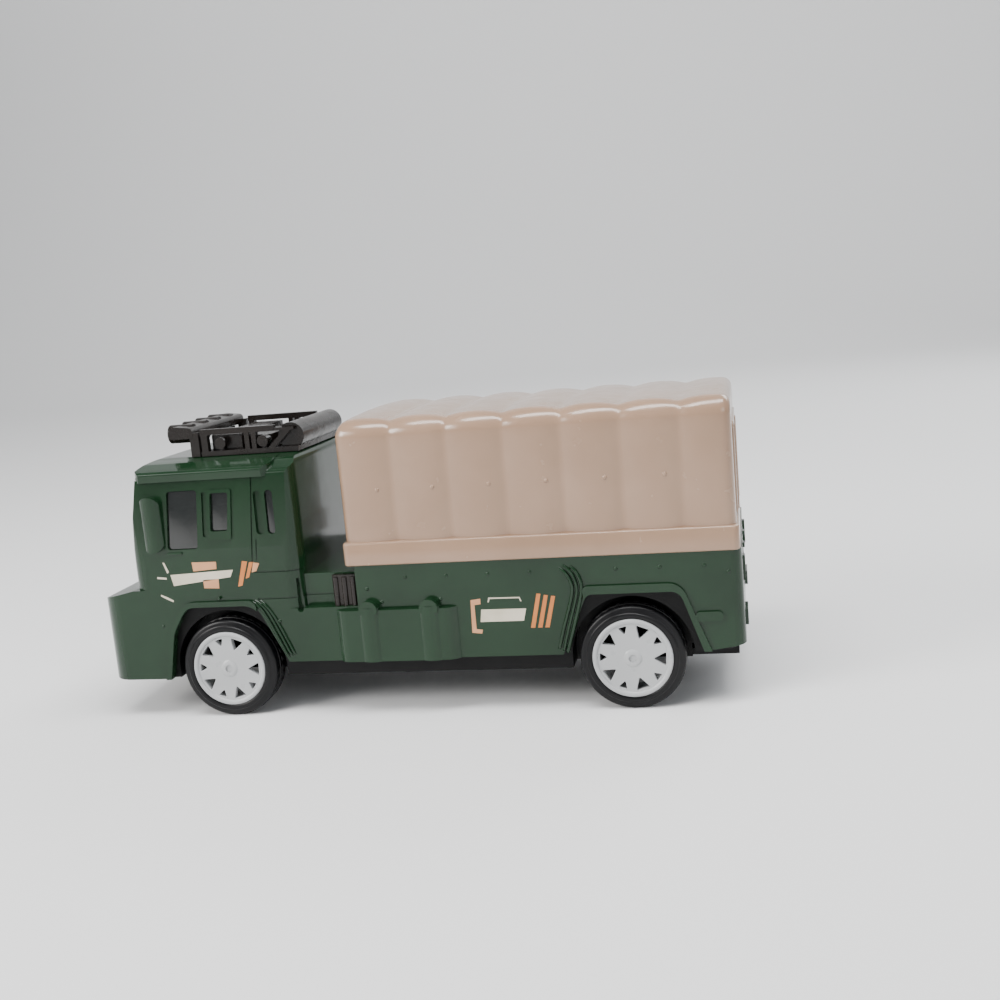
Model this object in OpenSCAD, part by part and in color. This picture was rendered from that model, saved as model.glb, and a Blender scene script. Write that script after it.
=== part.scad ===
// Toy military cargo truck: one-piece moulded body shell over a chassis tray,
// a hooped load cover, a roof rack, and two rolling wheel sets.
// Frame: +X forward, +Y left, +Z up, origin on the ground under the middle of the truck.

/* [Body] */
// Half width of the moulded body side
body_hw = 27.5; // [26.5:0.25:28]
// Wall thickness of the body moulding
wall = 1.6; // [1.2:0.1:1.8]
// Front face of the bumper
bumper_x = 85.4; // [84:0.2:86]
// Corner radius of the bumper, seen from above
bumper_r = 6.5; // [4:0.5:7]
// Rear face of the bed
rear_x = -83; // [-85:0.5:-82]
// Height of the skirt's lower edge above the ground
skirt_z = 14.2; // [14:0.1:15]
// Height of the bumper's lower edge above the ground
bumper_z = 10.3; // [9.8:0.1:11]
// Height of the bed's top edge above the ground
bed_z = 38.9; // [38:0.1:40]
// Height of the cab roof above the ground
roof_z = 67.8; // [67:0.1:69]
// Rear wall of the cab
cab_rear = 27.5; // [27:0.25:28]
// Inward lean of the cab side from the waist to the eave
lean = 1.0; // [0:0.1:1.2]
// Depth of the moulded window recesses
recess = 0.8; // [0.4:0.1:0.9]

/* [Wheels] */
// Rolling radius of the tyres
tyre_r = 13; // [12.5:0.1:13.4]
// Radius of the white wheel rim inside the tyre
rim_r = 9.9; // [9.8:0.1:10.4]
// Width of a tyre
tyre_w = 8; // [7:0.5:8]
// Outer face of the wheels, from the middle of the truck
wheel_y = 28.5; // [28:0.1:29]
// Position of the front axle
front_axle_x = 50.2; // [49.8:0.1:50.6]
// Position of the rear axle
rear_axle_x = -55.5; // [-56:0.1:-55]
// Radius of the steel axle rods
axle_r = 1.0; // [0.8:0.05:1.1]
// Radial running clearance of an axle in its bearings
axle_gap = 0.08; // [0.05:0.01:0.1]

/* [Load cover] */
// Front end of the load cover
cover_front = 15.5; // [15:0.25:16]
// Rear end of the load cover
cover_rear = -82.1; // [-82.4:0.1:-81.5]
// Half width of the cover in the valleys between its bulges
cover_hw = 26.3; // [26:0.1:27]
// Number of bulges
bulges = 7; // [5:1:8]
// Length of one bulge
pitch = 14.25; // [14:0.05:16]
// How far a bulge stands proud of the valleys
bulge_h = 1.0; // [0.4:0.1:1]
// Height of the cover's valleys at its middle
cover_z = 75.2; // [74:0.1:76.5]
// Height of the plain band round the foot of the cover
band_h = 5.9; // [5:0.1:7]

/* [Roof rack] */
// Front end of the roof rack
rack_front = 66; // [65:0.5:67]
// Rear end of the roof rack
rack_rear = 28.4; // [27.5:0.1:30]
// Half width of the roof rack
rack_hw = 17; // [15:0.5:18]

/* [Hidden] */
$fn = 64;
e = 0.01;
axle_z = tyre_r;
middle = (bumper_x + rear_x) / 2;  // middle of the truck's length
gap_x0 = 13.3;                     // front end of the bed, behind the gap
gap_z = 28.4;                      // floor of the gap between cab and bed
tray_hw = body_hw - wall - 0.25;   // outer face of the chassis tray's walls
tray_t = 1.4;                      // thickness of the tray's walls
tray_z = bumper_z - 0.1;           // underside of the tray
well_r = 15.1;                     // half-round wheel opening in the tray's wall
well_y = wheel_y - tyre_w - 1.6;   // inner wall of a wheel well
bridge_hw = 24.6;                  // half width of the bridge between cab and bed
bridge_z = 36.8;                   // top of that bridge
step_y = 17.5;                     // the tray's rear floor is raised beyond this
step_z = 13.6;                     // underside of that raised floor
// Screw posts: x, y and the height that each reaches.
posts = [[76.5, 14, 33], [76.5, -14, 33], [5, 0, 38], [-76, 14, 38], [-76, -14, 38]];

// ---- 2D outlines ----------------------------------------------------------

// Points of an arc about c, from angle a0 to a1, in n steps.
function arc(c, r, a0, a1, n = 6) =
    [for (i = [0 : n]) let(a = a0 + (a1 - a0) * i / n) [c[0] + r * cos(a), c[1] + r * sin(a)]];

// Rectangle from lo to hi with its four corners rounded.
function round_box(lo, hi, r, n = 6) = concat(
    arc([hi[0] - r, hi[1] - r], r, 0, 90, n), arc([lo[0] + r, hi[1] - r], r, 90, 180, n),
    arc([lo[0] + r, lo[1] + r], r, 180, 270, n), arc([hi[0] - r, lo[1] + r], r, 270, 360, n));

// Corner b of the path a, b, c, rounded to radius r.
function unit(v) = v / norm(v);
function fillet(a, b, c, r, n = 6) =
    let(u = unit(a - b), v = unit(c - b), h = acos(u * v) / 2, m = b + unit(u + v) * (r / sin(h)),
        p = b + u * (r / tan(h)) - m, q = b + v * (r / tan(h)) - m,
        a0 = atan2(p[1], p[0]), d = atan2(q[1], q[0]) - a0, w = d > 180 ? d - 360 : d < -180 ? d + 360 : d)
    arc(m, r, a0, a0 + w, n);

// Closed outline through pts, each corner rounded to its own radius (0 leaves it sharp).
function rounded(pts, rs, n = 6) = let(k = len(pts)) [for (i = [0 : k - 1])
    each (rs[i] == 0 ? [pts[i]] : fillet(pts[(i + k - 1) % k], pts[i], pts[(i + 1) % k], rs[i], n))];

// Lower body seen from the side, inset by t.
function lower_side(t) = rounded([
    [bumper_x - t, bumper_z - (t > 0 ? 2 : 0)], [bumper_x - t, 32.4 - t],
    [75 - t, 34.6 - t], [60 - t, 34.6 - t], [60 - t, gap_z - t], [gap_x0 - t, gap_z - t],
    [gap_x0 - t, bed_z - t], [rear_x + t, bed_z - t], [rear_x + t, 15.5 - (t > 0 ? 7 : 0)],
    [-74, skirt_z - (t > 0 ? 6 : 0)], [60, skirt_z - (t > 0 ? 6 : 0)], [64, bumper_z - (t > 0 ? 2 : 0)]],
    [t > 0 ? 0 : 1.2, 2.2, 0, 0, 0, 0, 0, 0, 0, 0, 0, 0]);

// Cab above the waist seen from the side, inset by t.
function cab_side(t) = rounded([
    [cab_rear + t, 27 - (t > 0 ? 2 : 0)], [74.8 - t, 27 - (t > 0 ? 2 : 0)], [74.6 - t, 38], [72.3 - t, 54],
    [69.9 - t, roof_z - t], [cab_rear + t, roof_z - t]], [0, 0, 12, 20, 4, 2.5]);

// Cab seen from the front, inset by t.
function cab_front(t) = let(h = body_hw - t, g = h - lean, z = roof_z - t) rounded([
    [-h, 20], [h, 20], [h, 45], [g, 64.4], [g - 4.5, z - 0.9], [g - 11, z], [-g + 11, z], [-g + 4.5, z - 0.9], [-g, 64.4], [-h, 45]],
    [0, 0, 12, 2, 4, 8, 8, 4, 2, 12], 4);

// Eave round the cab roof, from the front and from the side.
function eave_section() = let(h = body_hw - lean + 0.8, z = roof_z) rounded([
    [-h, 63.1], [h, 63.1], [h + 0.1, 65.6], [h - 5.5, z - 0.7], [h - 12, z], [-h + 12, z], [-h + 5.5, z - 0.7], [-h - 0.1, 65.6]],
    [0, 0, 1.0, 4, 8, 8, 4, 1.0], 4);
function eave_side() = rounded([[33.2, 63.1], [71.3, 63.1], [70.7, roof_z], [33.2, roof_z]], [0.6, 0.4, 3, 0.6]);

// A wheel arch's opening, as a side outline grown by g.
function front_arch(g) = rounded([[33.4 - 1.15 * g, 13.9], [41.0 - 0.55 * g, 29.7 + g], [60.2 + 0.6 * g, 29.7 + g], [64.4 + g, 23], [67.2 + g, 9]],
    [0, 5 + g, 4 + g, 8, 0], 5);
function rear_arch(g) = rounded([[-38.3 + 1.15 * g, 13.9], [-45.3 + 0.55 * g, 29.4 + g], [-67.8 - 0.55 * g, 29.4 + g], [-73.0 - 1.15 * g, 13.9]],
    [0, 2 + g, 3 + g, 0], 5);

module side(pts, w) { rotate([90, 0, 0]) linear_extrude(height = w, center = true) polygon(pts); }
// A side outline as a slab on the left, from y0 to y1, and its mirror on the right.
module both(pts, y0, y1) {
    for (m = [0, 1]) mirror([0, m, 0]) translate([0, y1, 0]) rotate([90, 0, 0]) linear_extrude(height = y1 - y0) polygon(pts);
}
// The same, following the lean of the cab side above the waist; y0 and y1 are measured from that side.
module on_cab(pts, y0, y1) {
    a = atan(lean / (64.4 - 45));
    for (m = [0, 1]) mirror([0, m, 0]) translate([0, body_hw, 45]) rotate([a, 0, 0]) translate([0, y1, -45])
        rotate([90, 0, 0]) linear_extrude(height = y1 - y0) polygon(pts);
}
module plan(pts, z0, z1) { translate([0, 0, z0]) linear_extrude(height = z1 - z0) polygon(pts); }
module across(pts, x0, x1) { translate([x0, 0, 0]) rotate([90, 0, 90]) linear_extrude(height = x1 - x0) polygon(pts); }
module centred() { translate([-middle, 0, 0]) children(); }

// ---- Body shell -------------------------------------------------------------

// Plan of the lower body: large corners at the bumper, smaller ones at the bed.
function lower_plan(t) = let(w = body_hw - t, r = bumper_r - t * 0.6) concat(
    arc([bumper_x - t - r, w - r], r, 0, 90, 8), arc([rear_x + t + 3 - t * 0.6, w - 3 + t * 0.6], 3 - t * 0.6, 90, 180),
    arc([rear_x + t + 3 - t * 0.6, -w + 3 - t * 0.6], 3 - t * 0.6, 180, 270), arc([bumper_x - t - r, -w + r], r, 270, 360, 8));

module shell_solid(t) {
    intersection() {
        side(lower_side(t), 2 * (body_hw - t));
        plan(lower_plan(t), 0, 45);
    }
    intersection() {
        side(cab_side(t), 2 * (body_hw - t));
        plan(round_box([cab_rear + t, -body_hw + t], [74.8 - t, body_hw - t], 4.5), 20, 72);
        across(cab_front(t), 20, 80);
    }
}

// Fuel tank moulded on the skirt, with two straps.
module tank() {
    for (m = [0, 1]) mirror([0, m, 0]) {
        intersection() {
            plan(round_box([-13, body_hw - 8], [19.6, body_hw + 1.8], 3.6), skirt_z, 27.6);
            translate([-20, body_hw - 1.7, 0]) cube([50, 6, 40]);
        }
        for (x = [-5.6, 10.2]) {
            // domed strap, and the lug at its top
            intersection() {
                translate([x, body_hw - 1.7, skirt_z]) cylinder(r = 4.2, h = 28.2 - skirt_z);
                translate([x - 2.6, body_hw - 1.2, 0]) cube([5.2, 6, 40]);
            }
            translate([x, body_hw + 0.55, 27.6]) intersection() {
                rotate([90, 0, 0]) cylinder(r = 2.4, h = 3.4, center = true);
                translate([-3, -3, -1]) cube([6, 6, 6]);
            }
        }
    }
}

module arch_rim(outer, inner) {
    difference() { both(outer, body_hw - 0.5, body_hw + 0.8); both(inner, body_hw - 1, body_hw + 2); }
}

// Headlamp, indicator and towing eye on the bumper, and lamps at the rear.
module front_trim() {
    for (s = [-1, 1]) {
        translate([bumper_x - 2, s * 16.2, 24.5]) rotate([0, 90, 0]) difference() {
            cylinder(r = 4.2, h = 2.7);
            translate([0, 0, 2.1]) cylinder(r = 3.4, h = 2);
        }
        translate([bumper_x - 2, s * 16.2, 24.5]) rotate([0, 90, 0]) cylinder(r = 2.4, h = 2.5);
        translate([bumper_x - 1.1, s * 8.4 - 1.4, 12.6]) cube([1.8, 2.8, 4.2]);
    }
}
module rear_trim() {
    for (s = [-1, 1]) {
        translate([rear_x - 0.7, s * 19.5 - 3.6, 19.2]) cube([2, 7.2, 3.8]);
        for (y = [7, 21]) translate([rear_x - 0.6, s * y - 1.1, 30]) cube([2, 2.2, 6.2]);
    }
}

module body_shell() {
    color([0.07, 0.16, 0.10]) difference() {
        union() {
            difference() { shell_solid(0); shell_solid(wall); }
            tank();
            // the rims stop where the beads between the arches begin
            arch_rim(rounded([[41.0, 27], [40.0, 31.1], [61.1, 31.1], [65.9, 23], [68.7, 9], [67, 9], [60, 20]], [0, 2.2, 5.5, 8, 0, 0, 0], 5), front_arch(0));
            arch_rim(rounded([[-44.6, 27.6], [-44.2, 31.5], [-68.2, 31.5], [-74.9, 13.9], [-60, 13.9]], [0, 1.2, 4.5, 0, 0], 5), rear_arch(0));
            // screw posts under the bumper shelf and the bed
            for (p = posts) translate([p[0], p[1], 14]) cylinder(r = 2.6, h = p[2] - 14);
            // raised bridge between the cab and the bed, set in from the sides
            translate([gap_x0 - wall, -bridge_hw, 26]) cube([cab_rear - gap_x0 + 2 * wall, 2 * bridge_hw, bridge_z - 26]);
            // eave round the cab roof
            difference() {
                intersection() {
                    plan(round_box([33.2, -body_hw - 0.8], [71.3, body_hw + 0.8], 5), 62, 72);
                    across(eave_section(), 20, 80);
                    side(eave_side(), 80);
                }
                shell_solid(wall / 2);
            }
            // mirrors on the front corners, window frames, marker blocks on the rear quarters
            intersection() {
                on_cab(round_box([63.9, 44.8], [69.6, 59.4], 2.6), -2.5, 3.2);
                for (s = [-1, 1]) translate([66.7, s * (body_hw - 1.1), 40]) cylinder(r = 3.1, h = 25);
            }
            on_cab(rounded([[45.3, 47.3], [51.7, 47.3], [50.7, 60.4], [44.1, 60.4]], [0.6, 0.6, 0.6, 0.6]), -1, 0.45);
            both(round_box([-77.9, 21.7], [-71.3, 24.1], 1.1), body_hw - 1, body_hw + 0.7);
            front_trim();
            rear_trim();
        }
        // arches through the skirts only, and the pocket inside the tank
        both(front_arch(0), 20, body_hw + 4);
        both(rear_arch(0), 20, body_hw + 4);
        both([[-11.4, 12], [18, 12], [18, 26.2], [-11.4, 26.2]], body_hw - 3.5, body_hw + 0.2);
        // below the skirt nothing of the lower outline is left
        translate([-100, -40, -5]) cube([158, 80, 5 + skirt_z - e]);
        translate([-100, -40, -5]) cube([200, 80, 5 + bumper_z - e]);
        // side windows and louvres, as shallow recesses
        on_cab(rounded([[55.0, 45.2], [63.4, 45.2], [62.1, 60.5], [53.7, 60.5]], [0.8, 0.8, 0.8, 0.8]), -recess, 3);
        on_cab(rounded([[46.1, 49.6], [50.8, 49.6], [49.9, 59.5], [45.0, 59.5]], [0.6, 0.6, 0.6, 0.6]), -recess + 0.2, 3);
        on_cab(rounded([[52.1, 48.2], [53.2, 48.2], [52.4, 59.8], [51.3, 59.8]], [0.4, 0.4, 0.4, 0.4]), -recess + 0.3, 3);
        for (x = [34.2, 37.3]) on_cab(round_box([x - 1.05, 48.2], [x + 1.05, 59.5], 1.0), -recess, 3);
        // door joint, panel joints and the drain slot behind the door
        on_cab([[41.0, 31.2], [41.4, 31.2], [38.6, 63], [38.2, 63]], -0.35, 3);
        on_cab([[39.9, 31.2], [40.2, 31.2], [38.8, 47], [38.5, 47]], -0.3, 3);
        for (z = [38.2, 31.1]) difference() {
            translate([20, -40, z]) cube([20.1, 80, 0.4]);
            plan(round_box([cab_rear + 0.3, -body_hw + 0.3], [60, body_hw - 0.3], 4.2), z - 1, z + 1);
            translate([10, -bridge_hw + 0.3, z - 1]) cube([20, 2 * bridge_hw - 0.6, 2]);
        }
        both(rounded([[27.9, 27.4], [29.6, 27.4], [29.4, 36.2], [28.9, 36.2]], [0.7, 0.7, 0, 0]), 25.5, body_hw + 1);
        // windscreen in two panes, leaning back with the cab
        for (s = [-1, 1]) translate([72.4, s * 11.3, 53.2]) rotate([0, -9, 0])
            translate([-recess, -9.9, -7.4]) cube([5, 19.8, 14.6]);
        // grille slots under the windscreen
        for (g = [[36.6, 73.7], [38.8, 73.5], [41.0, 73.2]]) for (s = [-1, 1]) translate([g[1], s * 9 - 7.6, g[0]]) cube([5, 15.2, 1.1]);
        // bumper slot and the recessed number plate, left blank
        translate([bumper_x - 0.8, -9.5, 21.6]) cube([3, 19, 6]);
        // tailgate panel
        translate([rear_x - 3, -17, 25.4]) cube([3 + 0.6, 34, 9.6]);
        // screw holes in the posts
        for (p = posts) translate([p[0], p[1], 8]) cylinder(r = 1.0, h = 16);
        // hollow under the bridge
        translate([gap_x0 - wall - 1, -bridge_hw + wall, 20]) cube([cab_rear - gap_x0 + 2 * wall + 2, 2 * (bridge_hw - wall), bridge_z - wall - 20]);
    }
}

// ---- Chassis tray -------------------------------------------------------------

module wheel_space(x) {
    // room for a wheel: open below, half round above
    for (m = [0, 1]) mirror([0, m, 0]) translate([x, well_y, axle_z]) {
        rotate([-90, 0, 0]) cylinder(r = well_r, h = 20);
        translate([-well_r, 0, -20]) cube([2 * well_r, 20, 20]);
    }
}

module wheel_housing(x) {
    for (m = [0, 1]) mirror([0, m, 0]) translate([x, well_y - tray_t, axle_z])
        rotate([-90, 0, 0]) cylinder(r = well_r + 1.2, h = tray_hw - well_y + tray_t);
}

module chassis_tray() {
    tray_front = bumper_x - wall - 0.4;
    tray_rear = rear_x + wall + 0.4;
    color([0.03, 0.03, 0.035]) intersection() {
      translate([-100, -40, tray_z]) cube([200, 80, 60]);
      difference() {
        union() {
            // floor, and walls that fill the arches behind the skirts
            plan(round_box([tray_rear, -tray_hw], [tray_front, tray_hw], 5.6), tray_z, tray_z + 1.6);
            difference() {
                plan(round_box([tray_rear, -tray_hw], [tray_front, tray_hw], 5.6), tray_z, 31.8);
                plan(round_box([tray_rear + tray_t, -tray_hw + tray_t], [tray_front - tray_t, tray_hw - tray_t], 4.2), tray_z + 1.5, 40);
                // the walls stand high only at the arches
                for (r = [[-100, -77], [-36.5, 30], [69.5, 100]])
                    translate([r[0], -40, 20]) cube([r[1] - r[0], 80, 20]);
                translate([gap_x0 - 2, -40, 20]) cube([20, 80, 20]);
            }
            wheel_housing(front_axle_x);
            wheel_housing(rear_axle_x);
            // behind the rear wheels the floor steps up towards the sides
            intersection() {
                plan(round_box([tray_rear, -tray_hw], [tray_front, tray_hw], 5.6), tray_z, step_z + 1.5);
                for (m = [0, 1]) mirror([0, m, 0]) translate([-90, step_y - 1.4, 0]) cube([90 - 71.0, 20, 40]);
            }
            // axle bearings
            for (x = [front_axle_x, rear_axle_x], s = [-1, 1])
                translate([x - 3, s * 13.2 - 1.5, tray_z]) cube([6, 3, 6.2]);
            // seats of the screw posts
            for (p = posts) translate([p[0], p[1], tray_z]) cylinder(r = 3.2, h = 3.55);
        }
        for (m = [0, 1]) mirror([0, m, 0]) translate([-90, step_y, 0]) cube([90 - 69.5, 20, step_z]);
        wheel_space(front_axle_x);
        wheel_space(rear_axle_x);
        // inside of the housings, between the two inner walls
        for (x = [front_axle_x, rear_axle_x]) {
            difference() {
                translate([x, -well_y + tray_t, axle_z]) rotate([-90, 0, 0]) cylinder(r = well_r + 3, h = 2 * (well_y - tray_t));
                translate([x - 30, -40, -5]) cube([60, 80, 5 + tray_z + 1.6]);
                for (s = [-1, 1]) translate([x - 3, s * 13.2 - 1.5, tray_z]) cube([6, 3, 6.2]);
            }
            translate([x, -40, axle_z]) rotate([-90, 0, 0]) cylinder(r = axle_r + axle_gap, h = 80);
        }
        // counterbored screw holes
        for (p = posts) {
            translate([p[0], p[1], tray_z - 1]) cylinder(r = 1.25, h = 6);
            translate([p[0], p[1], tray_z - 1]) cylinder(r = 2.2, h = 2.4);
        }
      }
    }
}

module tray_screws() {
    color([0.72, 0.72, 0.74])
    for (p = posts) translate([p[0], p[1], 0]) difference() {
        union() {
            translate([0, 0, tray_z + 0.2]) cylinder(r = 2.0, h = 1.2);
            translate([0, 0, tray_z + 1.2]) cylinder(r = 0.98, h = 8);
        }
        for (a = [0, 90]) translate([0, 0, tray_z + 0.4]) rotate([0, 0, a]) cube([2.4, 0.5, 0.9], center = true);
    }
}

// ---- Load cover -----------------------------------------------------------------

// Section of the cover across the truck: straight sides, round shoulders, slightly arched top.
function cover_section(h, z) = let(r = 3.6, c = 0.5, w = h - r) concat(
    [[-h, bed_z], [h, bed_z], [h, z - c - r]], arc([w, z - c - r], r, 0, 86, 8),
    [for (i = [1 : 7]) let(q = 1 - i / 4) [w * q, z - c * q * q]],
    arc([-w, z - c - r], r, 94, 180, 8));

// How far the skin stands out at x: one round bulge after another, n steps each.
function bulge_line(n = 8) = concat([[cover_rear, swell(cover_rear)]], [for (i = [bulges - 1 : -1 : 0], k = [n : -1 : 1])
    let(x = cover_front - pitch * (i + k / n)) if (x > cover_rear + 0.2) [x, swell(x)]], [[cover_front, 0]]);
function swell(x) = let(p = (cover_front - x) / pitch, q = 2 * (p - floor(p + 1e-6)) - 1) bulge_h * (1 - q * q);
// Closed outline: the bulge line lifted by h, down to base.
function bulged(h, base) = let(b = bulge_line()) concat([for (p = b) [p[0], h + p[1]]], [[cover_front, base], [cover_rear, base]]);
// Closed outline bulged on both sides of the middle.
function bulged_plan(h) = let(b = bulge_line(), k = len(b)) concat([for (p = b) [p[0], h + p[1]]], [for (i = [k - 1 : -1 : 0]) [b[i][0], -h - b[i][1]]]);

module cover_inside() {
    across([for (p = cover_section(cover_hw - 1.5, cover_z - 1.5)) [p[0], p[1] < bed_z + 1 ? bed_z - 2 : p[1]]],
           cover_rear + 1.5, cover_front - 1.5);
}

module load_cover() {
    color([0.74, 0.60, 0.46]) difference() {
        union() {
            intersection() {
                plan(bulged_plan(cover_hw), bed_z, 80);
                side(bulged(cover_z, bed_z), 80);
                across(cover_section(cover_hw + bulge_h, cover_z + bulge_h), cover_rear, cover_front);
                side(rounded([[cover_rear, bed_z], [cover_front, bed_z], [cover_front, 76.4], [cover_rear, 76.4]], [0, 0, 3, 2]), 80);
                plan(round_box([cover_rear, -28], [cover_front, 28], 2.2), bed_z, 80);
            }
            // plain band round the foot
            plan(round_box([cover_rear - 0.6, -body_hw - 0.5], [cover_front + 0.4, body_hw + 0.5], 1.8), bed_z, bed_z + band_h);
        }
        cover_inside();
        // rear doorway flap outline, as a shallow recess
        difference() {
            translate([cover_rear - 2, -16.5, 46.5]) cube([2 + 0.5, 33, 21]);
            translate([cover_rear - 3, -15.9, 45]) cube([6, 31.8, 21.9]);
        }
    }
}

// ---- Roof rack -------------------------------------------------------------------

// Frame with rails on posts, two stowage boxes and a rolled sheet.
module roof_rack() {
    z0 = roof_z;
    h = rack_hw;
    color([0.04, 0.04, 0.045]) {
        for (m = [0, 1]) mirror([0, m, 0]) {
            // runner on the roof, top rail, a pair of posts and a diagonal stay
            translate([rack_rear, h - 2.4, z0]) cube([rack_front - rack_rear - 10.6, 2.4, 1.3]);
            translate([34.6, h - 1.5, z0 + 5.6]) cube([rack_front - 34.6 - 10.6, 1.5, 1.5]);
            for (x = [39.8, 41.7]) translate([x, h - 1.7, z0 + 1]) cube([1.3, 1.7, 5.0]);
            translate([53.4, h - 1.7, z0 + 1]) cube([1.8, 1.7, 5.0]);
            translate([0, h - 0.1, 0]) rotate([90, 0, 0]) linear_extrude(height = 1.3)
                polygon([[35.0, z0 + 1], [37.0, z0 + 1], [31.2, z0 + 6.4], [29.2, z0 + 6.4]]);
            translate([29.2, h - 1.4, z0 + 5.6]) cube([6, 1.3, 0.8]);
            // small side lamps between the posts, each on a bracket
            for (x = [38.0, 49.9]) {
                translate([x, h - 2.8, z0 + 3.2]) rotate([-90, 0, 0]) cylinder(r = 1.5, h = 3.0);
                translate([x - 0.6, h - 2.2, z0 + 1]) cube([1.2, 1.2, 2.2]);
            }
        }
        for (x = [rack_rear, 36.4, 44, 53.2]) translate([x, -h + 1, z0]) cube([2, 2 * h - 2, 1.2]);
        translate([44.6, -14.9, z0 + 1]) cube([8.4, 29.8, 4.3]);
        translate([36.6, -14.2, z0 + 1]) cube([6.4, 28.4, 3.6]);
        translate([30.6, -h + 1.5, z0 + 3.9]) rotate([-90, 0, 0]) cylinder(r = 3.5, h = 2 * h - 3.0);
    }
}

// Rounded bar across the front of the roof, on two feet, with four round lamps.
module roof_lamp_bar() {
    z0 = roof_z;
    h = rack_hw;
    color([0.04, 0.04, 0.045]) {
        side(rounded([[57.4, z0 + 4.9], [64.9, z0 + 4.9], [63.9, z0 + 8.4], [57.4, z0 + 7.7]], [0.8, 1.4, 1.9, 1.2]), 2 * h);
        for (s = [-1, 1]) translate([55.9, s * (h - 1.1) - 1, z0]) cube([2.5, 2, 6.4]);
        for (y = [-12.3, -4.1, 4.1, 12.3]) translate([59, y, z0 + 6.0]) rotate([0, 90, 0]) difference() {
            cylinder(r = 2.5, h = 6.6);
            translate([0, 0, 6.1]) cylinder(r = 1.9, h = 2);
        }
    }
}

// ---- Air cleaner behind the cab -----------------------------------------------------

// A ribbed box on each side, in the gap between cab and bed.
module air_cleaner() {
    color([0.05, 0.04, 0.04]) for (m = [0, 1]) mirror([0, m, 0]) {
        plan(round_box([gap_x0 + 0.1, bridge_hw + 0.02], [gap_x0 + 6.7, body_hw - 1.2], 0.6), gap_z, bridge_z - 0.4);
        for (x = [1.1, 3.4, 5.7]) translate([gap_x0 + x, body_hw - 1.4, gap_z]) cylinder(r = 0.75, h = bridge_z - gap_z - 0.9);
    }
}

// ---- Wheels --------------------------------------------------------------------------

// Triangular hole in a wheel's face, pointing at the hub.
module hub_hole(a, r0, r1, w) {
    rotate([0, 0, a]) translate([0, 0, -1]) linear_extrude(height = 4) polygon([[r0, 0], [r1, w], [r1, -w]]);
}

module hub(x, s) {
    color([0.86, 0.87, 0.87])
    translate([x, s * wheel_y, axle_z]) rotate([s * 90, 0, 0]) difference() {
        rotate_extrude() polygon([[axle_r, 1.2], [axle_r, 8.6], [3, 8.6], [3, 2.2], [rim_r - 1.3, 2.2], [rim_r - 1.3, 7.4], [rim_r, 7.4],
                                  [rim_r, 0.35], [rim_r - 0.35, 0], [rim_r - 1.4, 0], [rim_r - 2.0, 0.4], [3.4, 0.3], [2.2, 0.2], [1.2, 0.0], [0, 0.0], [0, 1.2]]);
        for (i = [0 : 4]) {
            hub_hole(180 + s * (3 + 72 * i), 5.1, 8.15, 1.7);
            hub_hole(180 - s * (33 - 72 * i), 6.2, 8.15, 1.05);
        }
    }
}

module tyre(x, s) {
    color([0.03, 0.03, 0.035])
    translate([x, s * wheel_y, axle_z]) rotate([s * 90, 0, 0]) rotate_extrude(convexity = 4)
        polygon([[rim_r, 0.5], [rim_r + 0.3, 0.2], [rim_r + 1.3, 0.1], [rim_r + 1.6, 0.45], [tyre_r - 0.8, 0.6], [tyre_r - 0.3, 0.9], [tyre_r, 1.4],
                 [tyre_r, tyre_w - 1.2], [tyre_r - 0.6, tyre_w - 0.5], [rim_r, tyre_w - 0.4]]);
}

module axle_rod(x) {
    color([0.75, 0.75, 0.77])
    translate([x, -wheel_y + 1.2, axle_z]) rotate([-90, 0, 0]) cylinder(r = axle_r, h = 2 * wheel_y - 2.4);
}

module front_axle() { axle_rod(front_axle_x); }
module rear_axle() { axle_rod(rear_axle_x); }

centred() body_shell();
centred() chassis_tray();
centred() load_cover();
centred() roof_rack();
centred() roof_lamp_bar();
centred() air_cleaner();
centred() front_axle();
centred() rear_axle();
centred() hub(front_axle_x, 1);  // front_left_hub
centred() hub(front_axle_x, -1);  // front_right_hub
centred() hub(rear_axle_x, 1);  // rear_left_hub
centred() hub(rear_axle_x, -1);  // rear_right_hub
centred() tyre(front_axle_x, 1);  // front_left_tyre
centred() tyre(front_axle_x, -1);  // front_right_tyre
centred() tyre(rear_axle_x, 1);  // rear_left_tyre
centred() tyre(rear_axle_x, -1);  // rear_right_tyre
centred() tray_screws();
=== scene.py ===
import math

import bpy
from mathutils import Matrix, Vector


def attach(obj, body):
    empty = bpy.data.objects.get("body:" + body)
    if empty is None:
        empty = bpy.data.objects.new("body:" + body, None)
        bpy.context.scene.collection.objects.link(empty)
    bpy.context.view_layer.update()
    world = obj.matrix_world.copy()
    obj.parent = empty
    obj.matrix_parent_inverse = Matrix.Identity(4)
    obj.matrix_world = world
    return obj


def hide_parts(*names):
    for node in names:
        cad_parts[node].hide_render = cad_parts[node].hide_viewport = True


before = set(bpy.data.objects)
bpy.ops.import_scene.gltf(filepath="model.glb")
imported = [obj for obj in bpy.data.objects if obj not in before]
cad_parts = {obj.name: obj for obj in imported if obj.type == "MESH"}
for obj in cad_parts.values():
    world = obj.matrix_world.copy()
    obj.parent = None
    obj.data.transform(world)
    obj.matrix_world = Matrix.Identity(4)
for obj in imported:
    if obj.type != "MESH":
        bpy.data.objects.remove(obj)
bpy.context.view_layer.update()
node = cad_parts

# Everything below is written in millimetres of the CAD source: x from the source's own zero.
MID = 1.2
def P(x, y, z):
    return Vector(((x - MID) * 0.001, y * 0.001, z * 0.001))

scene = bpy.context.scene
link = scene.collection.objects.link

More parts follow.
